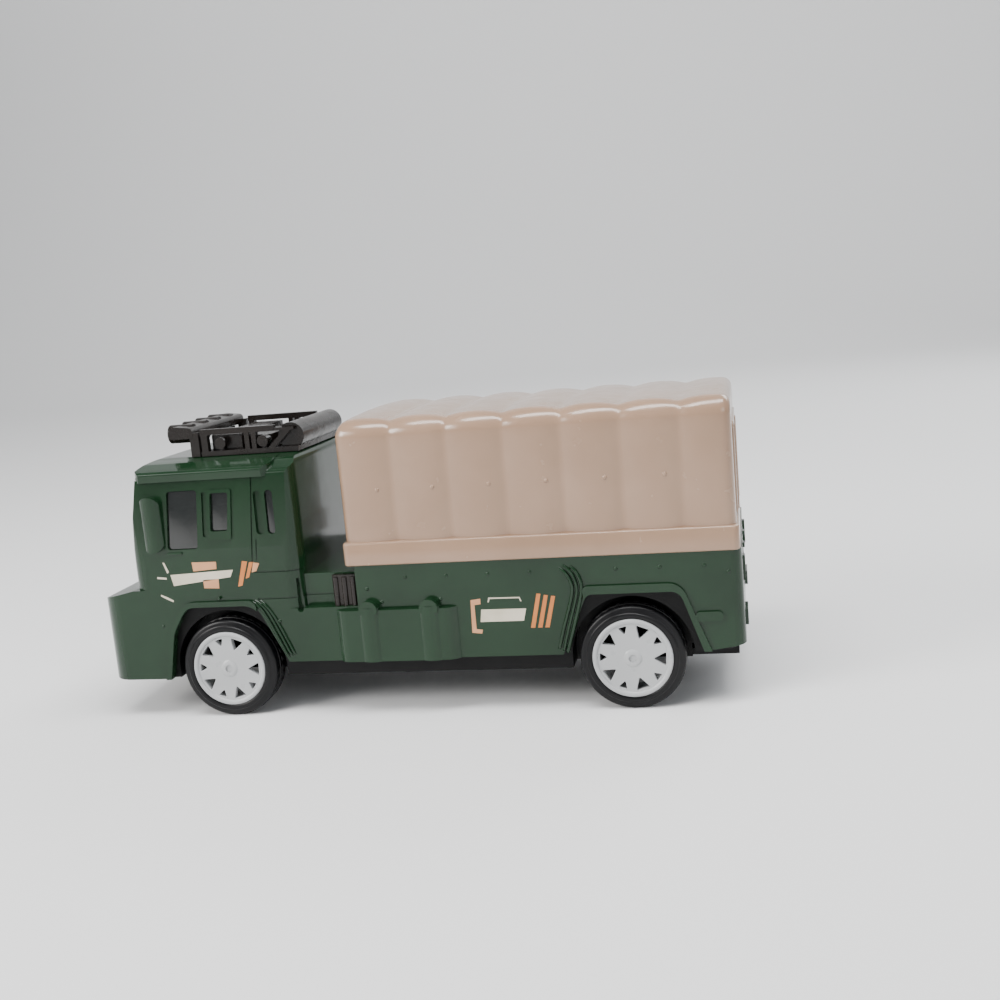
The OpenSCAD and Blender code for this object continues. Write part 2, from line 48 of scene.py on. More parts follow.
BODY_HW, BED_Z = 27.5, 38.9
COVER_F, COVER_R, COVER_HW, COVER_Z, BULGE, PITCH = 15.5, -82.1, 26.3, 75.2, 1.0, 14.25
WHEEL_Y, AXLE_Z, RIM_R, TYRE_R, TYRE_W = 28.5, 13.0, 9.9, 13.0, 8.0
AXLES = {"front": 50.2, "rear": -55.5}


# ---- Materials ---------------------------------------------------------------

def plastic(name, low, high, rough, grain=220.0, bump=0.05, coat=0.0, coat_rough=0.08, ior=1.49, specular=0.5, flow=None):
    """Moulded plastic: a slow drift of tint, a finer drift of gloss and a faint orange-peel skin."""
    m = bpy.data.materials.new(name)
    m.use_nodes = True
    t = m.node_tree
    b = t.nodes["Principled BSDF"]
    at = t.nodes.new("ShaderNodeTexCoord")
    place = t.nodes.new("ShaderNodeMapping")
    place.inputs["Scale"].default_value = flow or (1, 1, 1)
    t.links.new(at.outputs["Object"], place.inputs["Vector"])
    tint = t.nodes.new("ShaderNodeTexNoise")
    tint.inputs["Scale"].default_value = grain * 0.22
    tint.inputs["Detail"].default_value = 3
    tint.inputs["Roughness"].default_value = 0.55
    ramp = t.nodes.new("ShaderNodeValToRGB")
    ramp.color_ramp.elements[0].position = 0.34
    ramp.color_ramp.elements[0].color = (*low, 1)
    ramp.color_ramp.elements[1].position = 0.68
    ramp.color_ramp.elements[1].color = (*high, 1)
    gloss = t.nodes.new("ShaderNodeTexNoise")
    gloss.inputs["Scale"].default_value = grain
    gloss.inputs["Detail"].default_value = 4
    span = t.nodes.new("ShaderNodeMapRange")
    span.inputs["From Min"].default_value = 0.3
    span.inputs["From Max"].default_value = 0.7
    span.inputs["To Min"].default_value = rough[0]
    span.inputs["To Max"].default_value = rough[1]
    peel = t.nodes.new("ShaderNodeTexNoise")
    peel.inputs["Scale"].default_value = grain * 2.6
    peel.inputs["Detail"].default_value = 2
    skin = t.nodes.new("ShaderNodeBump")
    skin.inputs["Strength"].default_value = bump
    skin.inputs["Distance"].default_value = 0.0002
    for n in (tint, gloss, peel):
        t.links.new(place.outputs["Vector"], n.inputs["Vector"])
    t.links.new(tint.outputs["Fac"], ramp.inputs["Fac"])
    t.links.new(ramp.outputs["Color"], b.inputs["Base Color"])
    t.links.new(gloss.outputs["Fac"], span.inputs["Value"])
    t.links.new(span.outputs["Result"], b.inputs["Roughness"])
    t.links.new(peel.outputs["Fac"], skin.inputs["Height"])
    t.links.new(skin.outputs["Normal"], b.inputs["Normal"])
    b.inputs["IOR"].default_value = ior
    b.inputs["Specular IOR Level"].default_value = specular
    b.inputs["Coat Weight"].default_value = coat
    b.inputs["Coat Roughness"].default_value = coat_rough
    return m


def metal(name, low, high, rough):
    m = plastic(name, low, high, rough, grain=900.0, bump=0.03, flow=(6, 1, 1))
    m.node_tree.nodes["Principled BSDF"].inputs["Metallic"].default_value = 1.0
    return m


GREEN = plastic("green_plastic", (0.0058, 0.0225, 0.0085), (0.0086, 0.0300, 0.0120), (0.13, 0.20), bump=0.035, coat=0.15, coat_rough=0.05, specular=0.28)
TAN = plastic("tan_plastic", (0.296, 0.185, 0.119), (0.333, 0.213, 0.141), (0.18, 0.28), bump=0.035, coat=0.4, coat_rough=0.08)
BLACK = plastic("black_plastic", (0.0062, 0.0045, 0.0036), (0.0120, 0.0085, 0.0068), (0.20, 0.32), bump=0.05, specular=0.36)
TRAY = plastic("tray_plastic", (0.0020, 0.0020, 0.0022), (0.0046, 0.0046, 0.0048), (0.34, 0.48), bump=0.08, specular=0.18)
WHITE = plastic("white_plastic", (0.375, 0.383, 0.388), (0.420, 0.428, 0.432), (0.26, 0.36), bump=0.04)
TYRE = plastic("tyre_plastic", (0.0032, 0.0032, 0.0038), (0.0068, 0.0066, 0.0072), (0.28, 0.42), bump=0.07, specular=0.24)
GLAZE = plastic("window_black", (0.0100, 0.0115, 0.0112), (0.0150, 0.0168, 0.0160), (0.10, 0.18), bump=0.02, coat=0.35, coat_rough=0.05)
STEEL = metal("plated_steel", (0.50, 0.51, 0.53), (0.62, 0.63, 0.65), (0.22, 0.36))
CREAM = plastic("decal_cream", (0.56, 0.51, 0.39), (0.66, 0.60, 0.48), (0.34, 0.46), grain=500.0, bump=0.03)
PEACH = plastic("decal_peach", (0.50, 0.235, 0.110), (0.60, 0.300, 0.150), (0.34, 0.46), grain=500.0, bump=0.03)
ORANGE = plastic("decal_orange", (0.48, 0.145, 0.030), (0.58, 0.195, 0.046), (0.34, 0.46), grain=500.0, bump=0.03)


# ---- Mesh helpers ------------------------------------------------------------

def piece(name, verts, faces, mat, body, sharp=35.0):
    me = bpy.data.meshes.new(name)
    me.from_pydata([tuple(v) for v in verts], [], faces)
    me.validate()
    me.update()
    o = bpy.data.objects.new(name, me)
    link(o)
    return dress(o, mat, body, sharp)


def dress(o, mat, body, sharp=35.0):
    me = o.data
    me.materials.clear()
    me.materials.append(mat)
    for p in me.polygons:
        p.use_smooth = True
    me.set_sharp_from_angle(angle=math.radians(sharp))
    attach(o, body)
    return o


class Build:
    """Collects vertices and faces of several shapes into one mesh."""

    def __init__(self):
        self.v, self.f = [], []

    def add(self, verts, faces):
        k = len(self.v)
        self.v += [Vector(v) for v in verts]
        self.f += [[i + k for i in f] for f in faces]

    def mirrored(self):
        """Adds the mirror image of everything so far, across the middle plane."""
        k = len(self.v)
        self.v += [Vector((v.x, -v.y, v.z)) for v in self.v[:k]]
        self.f += [[i + k for i in reversed(f)] for f in self.f[: len(self.f)]]


def loft(rings, closed=True, cap=True):
    """Joins rings of equal length, one after another."""
    n, v, f = len(rings[0]), [], []
    for r in rings:
        v += r
    last = n if closed else n - 1
    for a in range(len(rings) - 1):
        for b in range(last):
            c = (b + 1) % n
            f.append([a * n + b, a * n + c, (a + 1) * n + c, (a + 1) * n + b])
    if cap:
        f.append(list(range(n))[::-1])
        f.append([(len(rings) - 1) * n + i for i in range(n)])
    return v, f


def arc2(c, r, a0, a1, n):
    return [(c[0] + r * math.cos(math.radians(a0 + (a1 - a0) * i / n)), c[1] + r * math.sin(math.radians(a0 + (a1 - a0) * i / n))) for i in range(n + 1)]


def round_box(lo2, hi2, r, n=5):
    return (arc2((hi2[0] - r, hi2[1] - r), r, 0, 90, n) + arc2((lo2[0] + r, hi2[1] - r), r, 90, 180, n)
            + arc2((lo2[0] + r, lo2[1] + r), r, 180, 270, n) + arc2((hi2[0] - r, lo2[1] + r), r, 270, 360, n))


def softened(pts, r, n=4):
    """Closed polygon with each corner cut to a small arc."""
    out = []
    k = len(pts)
    for i in range(k):
        a, b, c = Vector(pts[i - 1]), Vector(pts[i]), Vector(pts[(i + 1) % k])
        u, w = (a - b).normalized(), (c - b).normalized()
        half = math.acos(max(-1, min(1, u.dot(w)))) / 2
        d = r / math.tan(half)
        m = b + (u + w).normalized() * (r / math.sin(half))
        p, q = b + u * d - m, b + w * d - m
        a0 = math.atan2(p.y, p.x)
        da = math.atan2(q.y, q.x) - a0
        da = da - 2 * math.pi if da > math.pi else da + 2 * math.pi if da < -math.pi else da
        out += [(m.x + r * math.cos(a0 + da * t / n), m.y + r * math.sin(a0 + da * t / n)) for t in range(n + 1)]
    return out


def pad(x0, x1, z0, z1, y0, y1, r=0.5, edge=0.15, n=5):
    """Low rounded pad on the left side, from y0 out to y1, with a softened front edge."""
    rings = []
    for y, inset in ((y0, 0), (y1 - edge, 0), (y1 - edge * 0.3, edge * 0.3), (y1, edge)):
        rings.append([P(x, y, z) for x, z in round_box((x0 + inset, z0 + inset), (x1 - inset, z1 - inset), max(r - inset, 0.08), n)])
    v, f = loft(rings)
    return v, [list(reversed(q)) for q in f]


def dome(centre, normal, r, h, n=20, k=5, foot=0.3):
    """Low rivet head: a cap of radius r and height h on the plane through centre."""
    normal = Vector(normal).normalized()
    side = normal.orthogonal().normalized()
    up = normal.cross(side)
    rings = [[Vector(centre) - normal * foot * 0.001 + (side * math.cos(2 * math.pi * i / n) + up * math.sin(2 * math.pi * i / n)) * r * 0.001 for i in range(n)]]
    for j in range(k):
        a = math.pi / 2 * j / k
        rings.append([Vector(centre) + normal * h * math.sin(a) * 0.001 + (side * math.cos(2 * math.pi * i / n) + up * math.sin(2 * math.pi * i / n)) * r * math.cos(a) * 0.001 for i in range(n)])
    return loft(rings)


def smooth_path(pts, step):
    """Catmull-Rom line through the points, resampled."""
    out = []
    q = [pts[0]] + list(pts) + [pts[-1]]
    for i in range(1, len(q) - 2):
        a, b, c, d = (Vector(p) for p in q[i - 1:i + 3])
        n = max(2, int((c - b).length / step))
        for k in range(n):
            t = k / n
            out.append(0.5 * ((2 * b) + (c - a) * t + (2 * a - 5 * b + 4 * c - d) * t * t + (3 * b - a - 3 * c + d) * t ** 3))
    out.append(Vector(q[-2]))
    return out


def bead(path, r, h, n=10):
    """Half-round bead along a path of (x, z) on the left body side, r wide each way and h proud; its ends taper."""
    pts = smooth_path([Vector((p[0], p[1])) for p in path], 0.8)
    rings = []
    for i, p in enumerate(pts):
        a, b = pts[max(i - 1, 0)], pts[min(i + 1, len(pts) - 1)]
        d = (b - a).normalized()
        nrm = Vector((-d.y, d.x))
        end = min(1.0, (i + 0.35) / 2.0, (len(pts) - 1 - i + 0.35) / 2.0)
        ring = []
        for k in range(n):
            t = 2 * math.pi * k / n
            off, out = math.cos(t) * r * (0.6 + 0.4 * end), math.sin(t) * h * end
            ring.append(P(p.x + nrm.x * off, BODY_HW + out, p.y + nrm.y * off))
        rings.append(ring)
    return loft(rings)


# ---- CAD nodes shown as they are, with softened edges --------------------------

def soften(name, mat, width, segments=3, angle=28.0):
    o = node[name]
    o.data.materials.clear()
    o.data.materials.append(mat)
    for p in o.data.polygons:
        p.use_smooth = True
    w = o.modifiers.new("weld", "WELD")
    w.merge_threshold = 1e-6
    d = o.modifiers.new("flat", "DECIMATE")
    d.decimate_type = "DISSOLVE"
    d.angle_limit = math.radians(0.5)
    b = o.modifiers.new("edges", "BEVEL")
    b.width = width * 0.001
    b.segments = segments
    b.limit_method = "ANGLE"
    b.angle_limit = math.radians(angle)
    b.use_clamp_overlap = True
    n = o.modifiers.new("normals", "WEIGHTED_NORMAL")
    n.keep_sharp = False


soften("body_shell", GREEN, 0.24)
soften("chassis_tray", TRAY, 0.25)
soften("roof_rack", BLACK, 0.28)
soften("roof_lamp_bar", BLACK, 0.28)
soften("air_cleaner", BLACK, 0.22)
soften("front_axle", STEEL, 0.15)
soften("rear_axle", STEEL, 0.15)
soften("tray_screws", STEEL, 0.12, 2)


# ---- Load cover ----------------------------------------------------------------

def section(h, z, n=7):
    """Cover section as (y, z, outward normal y, z), from the left foot over the top to the right foot."""
    r, c = 3.6, 0.5
    w, top = h - r, z - c - r
    pts = [(h, BED_Z + (top - BED_Z) * i / 14) for i in range(14)]
    pts += [(w + r * math.cos(a), top + r * math.sin(a)) for a in [math.radians(86.0 * i / 16) for i in range(17)]]
    y0, z0 = pts[-1]
    for i in range(1, 10):
        q = 1 - i / 9
        pts.append((y0 * q, z - (z - z0) * q * q))
    half = pts
    full = half + [(-y, zz) for y, zz in half[-2::-1]]
    out = []
    for i, (y, zz) in enumerate(full):
        a, b = full[max(i - 1, 0)], full[min(i + 1, len(full) - 1)]
        d = Vector((b[0] - a[0], b[1] - a[1])).normalized()
        out.append((y, zz, d.y, -d.x))
    return out


def swell(x):
    """Height of the cloth over the hoops at x: one round bulge after another, with a soft valley."""
    total = 0.0
    for k in range(-3, 4):
        q = (COVER_F - (x + k * 0.16)) / PITCH
        q = 2 * (q - math.floor(q)) - 1
        total += 1 - abs(q) ** 2.2
    return BULGE * total / 7


def cover_skin(h, z, front, rear, bulged, r_side, r_front, r_rear, cols=124, arcs=6, rings=5):
    sec = section(h, z)
    columns = []
    def ends(x, end, ins, top):
        row = []
        for y, zz, ny, nz in sec:
            t = max(0.0, min(1.0, nz))
            r = r_side + (top - r_side) * t * t
            low = 1.0 if zz > BED_Z + 1 else 0.0
            s = swell(x) if bulged else 0.0
            sx = end + (r * (1 - math.sin(ins))) * (-1 if end == front else 1)
            inset = r * (1 - math.cos(ins))
            s = swell(sx) if bulged else 0.0
            row.append(P(sx, y + (s - inset) * ny, zz + (s - inset) * nz * low))
        return row
    for i in range(arcs, 0, -1):
        columns.append(ends(rear, rear, math.pi / 2 * i / arcs, r_rear))
    a, b = rear + max(r_side, r_rear), front - max(r_side, r_front)
    def middle_column(x, blend_f, blend_r):
        row = []
        for y, zz, ny, nz in sec:
            t = max(0.0, min(1.0, nz)) ** 2
            x_front = front - (r_side + (r_front - r_side) * t)
            x_rear = rear + (r_side + (r_rear - r_side) * t)
            u = x_rear + (x_front - x_rear) * x
            s = swell(u) if bulged else 0.0
            row.append(P(u, y + s * ny, zz + s * nz * (1.0 if zz > BED_Z + 1 else 0.0)))
        return row
    for i in range(cols + 1):
        columns.append(middle_column(i / cols, 0, 0))
    for i in range(1, arcs + 1):
        columns.append(ends(front, front, math.pi / 2 * i / arcs, r_front))
    def fan(row, x, count):
        out = []
        for k in range(1, count + 1):
            f = 1 - k / (count + 0.0) if k < count else 0.02
            out.append([Vector(((x - MID) * 0.001, p.y * f, BED_Z * 0.001 + (p.z - BED_Z * 0.001) * f)) for p in row])
        return out
    back = fan(columns[0], rear, rings)[::-1]
    ahead = fan(columns[-1], front, rings)
    return back + columns + ahead


def load_cover():
    outer = cover_skin(COVER_HW, COVER_Z, COVER_F, COVER_R, True, 2.2, 3.2, 2.0)
    inner = cover_skin(COVER_HW - 1.5, COVER_Z - 1.5, COVER_F - 1.5, COVER_R + 1.5, False, 0.8, 1.2, 0.8)
    m, n = len(outer), len(outer[0])
    v, f = [], []
    for grid in (outer, inner):
        for row in grid:
            v += row
    k = m * n
    for a in range(m - 1):
        for b in range(n - 1):
            f.append([a * n + b, (a + 1) * n + b, (a + 1) * n + b + 1, a * n + b + 1])
            f.append([k + a * n + b, k + a * n + b + 1, k + (a + 1) * n + b + 1, k + (a + 1) * n + b])
    for a in range(m - 1):
        f.append([a * n, k + a * n, k + (a + 1) * n, (a + 1) * n])
        f.append([a * n + n - 1, (a + 1) * n + n - 1, k + (a + 1) * n + n - 1, k + a * n + n - 1])
    for a in (0, m - 1):
        for b in range(n - 1):
            q = [a * n + b, a * n + b + 1, k + a * n + b + 1, k + a * n + b]
            f.append(q if a == 0 else q[::-1])
    built = Build()
    built.add(v, f)
    # plain band round the foot
    x0, x1, hw, top = COVER_R - 0.6, COVER_F + 0.4, BODY_HW + 0.5, BED_Z + 5.9
    rings = []
    for inset, z in ((0.22, BED_Z), (0, BED_Z + 0.22), (0, top - 0.55), (0.10, top - 0.25), (0.28, top - 0.08), (0.55, top), (3.3, top), (3.3, BED_Z)):
        rings.append([P(x, y, z) for x, y in round_box((x0 + inset, -hw + inset), (x1 - inset, hw - inset), max(1.8 - inset, 0.25), 6)])
    v, f = loft(rings + [rings[0]], cap=False)
    n = len(rings[0])
    w = v[: n * len(rings)]
    f = [[i % len(w) for i in q] for q in f]
    built.add(w, f)
    o = piece("load_cover_skin", built.v, built.f, TAN, "root", 40)
    return o


cover = load_cover()
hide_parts("load_cover")


# Small moulded buttons on the bulges, and the rolled rear curtain with its two straps.
trim = Build()
for k in range(7):
    x = 8.375 - PITCH * k - 3.1
    if x > COVER_R + 3:
        y = COVER_HW + swell(x)
        trim.add(*dome(P(x, y - 0.02, 57.9), (0, 1, 0), 0.55, 0.28))
trim.mirrored()
curtain = []
for x, inset in ((COVER_R + 0.4, 0), (COVER_R - 0.22, 0), (COVER_R - 0.38, 0.12), (COVER_R - 0.45, 0.35)):
    curtain.append([P(x, y, z) for y, z in round_box((-16.4 + inset, 45.2 + inset), (16.4 - inset, 68.2 - inset), 2.0 - inset, 6)])
trim.add(*loft(curtain))
for s in (-1, 1):
    strap = []
    for x, inset in ((COVER_R, 0), (COVER_R - 0.62, 0), (COVER_R - 0.75, 0.15)):
        strap.append([P(x, y, z) for y, z in round_box((s * 8.6 - 1.0 + inset, 45.2 + inset), (s * 8.6 + 1.0 - inset, 66.6 - inset), 0.5 - inset, 4)])
    trim.add(*loft(strap))
piece("load_cover_trim", trim.v, trim.f, TAN, "root", 40)


# ---- Body trim -------------------------------------------------------------------

ridges = Build()
# three beads down the front leg of the rear arch, where its rim leaves off
for line, r in (
        ([(-38.9, 36.3), (-40.3, 35.1), (-41.4, 33.4), (-41.9, 31.5), (-41.75, 29.6), (-40.9, 26.6), (-39.4, 22.0), (-37.5, 15.6)], 0.50),
        ([(-39.9, 37.0), (-41.5, 35.5), (-42.6, 33.4), (-43.0, 31.2), (-42.8, 29.3), (-41.95, 26.3), (-40.5, 21.7), (-38.6, 15.2)], 0.46),
        ([(-41.7, 36.6), (-43.0, 35.2), (-43.9, 33.2), (-44.2, 31.2), (-43.9, 29.2), (-43.05, 26.1), (-41.6, 21.3), (-39.5, 14.7)], 0.52)):
    ridges.add(*bead(line, r, 0.75))
# and three down the rear leg of the front arch
for line, r in (
        ([(42.2, 30.7), (40.2, 29.6), (38.9, 27.7), (37.2, 24.2), (35.4, 20.0), (33.4, 15.4)], 0.44),
        ([(40.9, 31.0), (38.9, 29.4), (37.4, 27.1), (36.1, 24.3), (34.3, 20.1), (32.5, 15.7)], 0.40),
        ([(39.5, 30.9), (37.7, 29.0), (36.2, 26.6), (34.9, 23.9), (33.2, 20.0), (31.6, 16.1)], 0.40)):
    ridges.add(*bead(line, r, 0.62))
ridges.mirrored()
piece("arch_beads", ridges.v, ridges.f, GREEN, "root", 60)

studs = Build()
for x, z, r in ([(0.2 - 10.6 * k, 35.5, 0.5) for k in range(8)] + [(10.5, 32.8, 0.55), (6.9, 29.3, 0.5), (-8.4, 29.5, 0.5), (67.6, 24.9, 0.45), (-79.6, 33.7, 0.5)]):
    studs.add(*dome(P(x, BODY_HW, z), (0, 1, 0), r, r * 0.6))
studs.add(*dome(P(34.9, BODY_HW, 25.2), (0, 1, 0), 0.55, 0.4))
studs.add(*dome(P(50.6, BODY_HW + 0.8, 31.9), (0, 1, 0), 0.4, 0.2, foot=1.2))
# sill under the front window
studs.add(*pad(59.4, 63.6, 43.9, 44.6, BODY_HW - 0.4, BODY_HW + 0.45, 0.3, 0.12))
studs.mirrored()
piece("body_studs", studs.v, studs.f, GREEN, "root", 50)


# ---- Window panes and louvre inserts, each set on the floor of its recess --------------

LEAN = math.atan(1.0 / 19.4)
def on_cab(x, z, out):
    """Point on the cab side, which leans inwards above z 45; out is measured from that side."""
    return P(x, BODY_HW + out * math.cos(LEAN) - (z - 45) * math.sin(LEAN), 45 + out * math.sin(LEAN) + (z - 45) * math.cos(LEAN))


def inset_outline(pts, d):
    """A convex outline moved inwards by d."""
    out, k = [], len(pts)
    for i in range(k):
        a, b, c = Vector(pts[i - 1]), Vector(pts[i]), Vector(pts[(i + 1) % k])
        u, w = (a - b).normalized(), (c - b).normalized()
        half = math.acos(max(-1, min(1, u.dot(w)))) / 2
        m = b + (u + w).normalized() * (d / math.sin(half))
        out.append((m.x, m.y))
    return out


panes = Build()
for outline, floor_at, r in (
        ([(55.0, 45.2), (63.4, 45.2), (62.1, 60.5), (53.7, 60.5)], -0.8, 0.7),
        ([(46.1, 49.6), (50.8, 49.6), (49.9, 59.5), (45.0, 59.5)], -0.6, 0.5),
        ([(33.15, 48.2), (35.25, 48.2), (35.25, 59.5), (33.15, 59.5)], -0.8, 0.8)):
    rings = []
    for out, ins in ((floor_at - 0.05, 0.06), (floor_at + 0.12, 0.06), (floor_at + 0.19, 0.12), (floor_at + 0.20, 0.22)):
        rings.append([on_cab(x, z, out) for x, z in softened(inset_outline(outline, ins), max(r - ins, 0.1), 5)])
    v, f = loft(rings)
    panes.add(v, [list(reversed(q)) for q in f])
panes.mirrored()
for s in (-1, 1):
    rings = []
    for out, ins in ((-0.85, 0.08), (-0.68, 0.08), (-0.61, 0.14), (-0.60, 0.24)):
        ring = []
        for y, z in round_box((-9.9 + ins, -7.4 + ins), (9.9 - ins, 7.2 - ins), 0.5, 4):
            a = math.radians(9)
            ring.append(P(72.4 + out * math.cos(a) - z * math.sin(a), s * 11.3 + y, 53.2 + out * math.sin(a) + z * math.cos(a)))
        rings.append(ring)
    panes.add(*loft(rings))
piece("window_panes", panes.v, panes.f, GLAZE, "root", 40)


# ---- Decals: plain blocks and slanted bars ------------------------------------------

def decal(name, shapes, mat):
    b = Build()
    for x_mid, pts in shapes:
        for s in (1, -1):
            ring0 = [P(x if s > 0 else 2 * x_mid - x, s * (BODY_HW - 0.1), z) for x, z in pts]
            ring1 = [P(x if s > 0 else 2 * x_mid - x, s * (BODY_HW + 0.05), z) for x, z in pts]
            v, f = loft([ring0, ring1])
            b.add(v, f)
    o = piece(name, b.v, b.f, mat, "root", 30)
    return o


CAB_MID, BED_MID = 53.0, -26.9
decal("decal_peach", [
    (CAB_MID, [(57.2, 41.7), (50.4, 41.6), (50.5, 39.7), (57.0, 39.3)]),
    (CAB_MID, [(54.6, 36.9), (54.6, 34.7), (50.4, 34.5), (50.3, 37.0)]),
    (BED_MID, [(-16.1, 28.9), (-18.6, 29.2), (-18.6, 27.8), (-17.0, 27.6), (-17.0, 21.4), (-18.6, 21.2), (-18.3, 20.2), (-15.8, 20.5)]),
    (CAB_MID, [(40.2, 41.0), (38.6, 40.7), (39.6, 38.7), (40.9, 38.4)]),
], PEACH)
decal("decal_orange", [
    (CAB_MID, [(43.2, 41.5), (41.8, 41.3), (43.9, 35.0), (45.1, 34.8)]),
    (CAB_MID, [(41.3, 41.1), (40.3, 41.1), (41.8, 37.1), (42.8, 36.8)]),
    (BED_MID, [(-32.9, 30.0), (-33.9, 29.9), (-31.9, 21.3), (-30.8, 21.3)]),
    (BED_MID, [(-34.7, 29.6), (-35.7, 29.5), (-33.7, 21.3), (-32.6, 21.3)]),
    (BED_MID, [(-36.5, 29.3), (-37.5, 29.2), (-35.5, 21.3), (-34.4, 21.3)]),
], ORANGE)
decal("decal_cream", [
    (CAB_MID, [(63.6, 38.6), (46.0, 39.3), (46.9, 37.4), (63.0, 35.6)]),
    (CAB_MID, [(65.4, 42.0), (64.9, 41.9), (63.9, 39.4), (64.4, 39.0)]),
    (CAB_MID, [(67.4, 38.2), (64.8, 37.9), (64.8, 37.4), (67.4, 37.7)]),
    (CAB_MID, [(67.0, 33.4), (65.2, 32.6), (63.6, 31.7), (63.8, 31.3), (65.5, 32.1), (67.1, 33.0)]),
    (BED_MID, [(-18.6, 26.4), (-30.0, 26.3), (-29.2, 23.2), (-18.2, 23.2)]),
    (BED_MID, [(-20.4, 28.2), (-20.7, 29.4), (-28.6, 29.3), (-29.0, 28.2), (-28.7, 28.2), (-28.4, 29.0), (-21.0, 29.05), (-20.7, 28.2)]),
], CREAM)


# ---- Wheels --------------------------------------------------------------------------

def lathe(axle_x, s, profile, n, wobble=None):
    """Turns (radius, depth) points about an axle. Depth runs inwards from the outer wheel face."""
    v, f = [], []
    k = len(profile)
    for i in range(n):
        a = 2 * math.pi * i / n
        for j, (r, d) in enumerate(profile):
            rr = r + (wobble(i, j) if wobble else 0.0)
            v.append(P(axle_x + rr * math.cos(a), s * (WHEEL_Y - d), AXLE_Z + rr * math.sin(a)))
    for i in range(n):
        for j in range(k):
            a, b = i * k + j, i * k + (j + 1) % k
            c, d = ((i + 1) % n) * k + (j + 1) % k, ((i + 1) % n) * k + j
            f.append([a, b, c, d] if s < 0 else [d, c, b, a])
    return v, f


def tyre(name, axle_x, s, body):
    prof = [(9.9, 0.62), (9.96, 0.38), (10.15, 0.2), (10.5, 0.12), (10.95, 0.12), (11.2, 0.2), (11.38, 0.42), (11.6, 0.52), (12.05, 0.56),
            (12.45, 0.66), (12.75, 0.86), (12.93, 1.15), (13.0, 1.5)]
    tread = [(13.0, 1.9), (13.0, 2.9), (13.0, 3.05), (12.78, 3.15), (12.78, 3.55), (13.0, 3.65), (13.0, 3.8), (13.0, 4.4), (13.0, 4.55), (12.78, 4.65), (12.78, 5.05),
             (13.0, 5.15), (13.0, 5.3), (13.0, 6.3)]
    prof2 = prof + tread + [(13.0, 6.7), (12.93, 7.05), (12.7, 7.32), (12.3, 7.48), (11.6, 7.55), (10.3, 7.58), (9.9, 7.5)]
    first, last = len(prof), len(prof) + len(tread) - 1
    def wobble(i, j):
        # cross grooves in the two outer ribs of the tread
        if (first <= j <= first + 2 or last - 2 <= j <= last) and i % 5 in (0, 1):
            return -0.2
        return 0.0
    v, f = lathe(axle_x, s, prof2, 180, wobble)
    o = piece(name + "_tread", v, f, TYRE, body, 32)
    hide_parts(name)


def hub_outline(r, n):
    return [(r * math.cos(2 * math.pi * i / n), r * math.sin(2 * math.pi * i / n)) for i in range(n)]


def disc_mesh(loops, half, soft):
    cu = bpy.data.curves.new("disc", "CURVE")
    cu.dimensions = "2D"
    cu.fill_mode = "BOTH"
    cu.extrude = half - soft
    cu.bevel_depth = soft
    cu.bevel_resolution = 2
    cu.offset = -soft
    for loop in loops:
        sp = cu.splines.new("POLY")
        sp.points.add(len(loop) - 1)
        for i, (x, y) in enumerate(loop):
            sp.points[i].co = (x, y, 0, 1)
        sp.use_cyclic_u = True
    o = bpy.data.objects.new("disc", cu)
    link(o)
    bpy.context.view_layer.update()
    me = bpy.data.meshes.new_from_object(o.evaluated_get(bpy.context.evaluated_depsgraph_get()))
    verts = [v.co.copy() for v in me.vertices]
    faces = [list(p.vertices) for p in me.polygons]
    bpy.data.objects.remove(o)
    bpy.data.curves.remove(cu)
    bpy.data.meshes.remove(me)
    return verts, faces


def hub(name, axle_x, s, body):
    loops = [hub_outline(8.7, 96)]
    for i in range(5):
        for a0, r0, r1, w in ((180 + s * (3 + 72 * i), 5.05, 8.1, 1.75), (180 - s * (33 - 72 * i), 6.15, 8.1, 1.1)):
            a = math.radians(a0)
            ca, sa = math.cos(a), math.sin(a)
            tri = [(r0, 0), (r1, w), (r1, -w)]
            loops.append(softened([(x * ca - y * sa, x * sa + y * ca) for x, y in tri], 0.22))
    verts, faces = disc_mesh(loops, 0.85, 0.12)
    b = Build()
    # the disc lies from 0.4 to 2.1 inside the wheel face; its own x and y are the wheel's, seen as the CAD draws it
    turned = []
    for c in verts:
        turned.append(P(axle_x + c.x, s * (WHEEL_Y - 1.25 - c.z * s * -1), AXLE_Z + c.y) if s > 0 else P(axle_x + c.x, s * (WHEEL_Y - 1.25) + c.z, AXLE_Z + c.y))
    b.add(turned, faces)
    rim = [(8.5, 0.55), (8.7, 0.30), (8.85, 0.12), (9.05, 0.03), (9.3, 0.0), (9.6, 0.03), (9.8, 0.14), (9.9, 0.35), (9.9, 7.3), (9.8, 7.4), (8.7, 7.4), (8.6, 7.3), (8.6, 2.0), (8.5, 1.9)]
    b.add(*lathe(axle_x, s, rim, 120))
    boss = [(1.0, 0.02), (1.35, 0.03), (1.75, 0.10), (2.1, 0.24), (2.3, 0.42), (3.0, 0.5), (3.0, 8.6), (1.0, 8.6)]
    b.add(*lathe(axle_x, s, boss, 48))
    o = piece(name + "_disc", b.v, b.f, WHITE, body, 40)
    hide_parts(name)


for end, axle_x in AXLES.items():
    for side, s in (("left", 1), ("right", -1)):
        tyre(f"{end}_{side}_tyre", axle_x, s, f"{end}_wheels")
        hub(f"{end}_{side}_hub", axle_x, s, f"{end}_wheels")


# ---- Camera, floor and light ------------------------------------------------------------

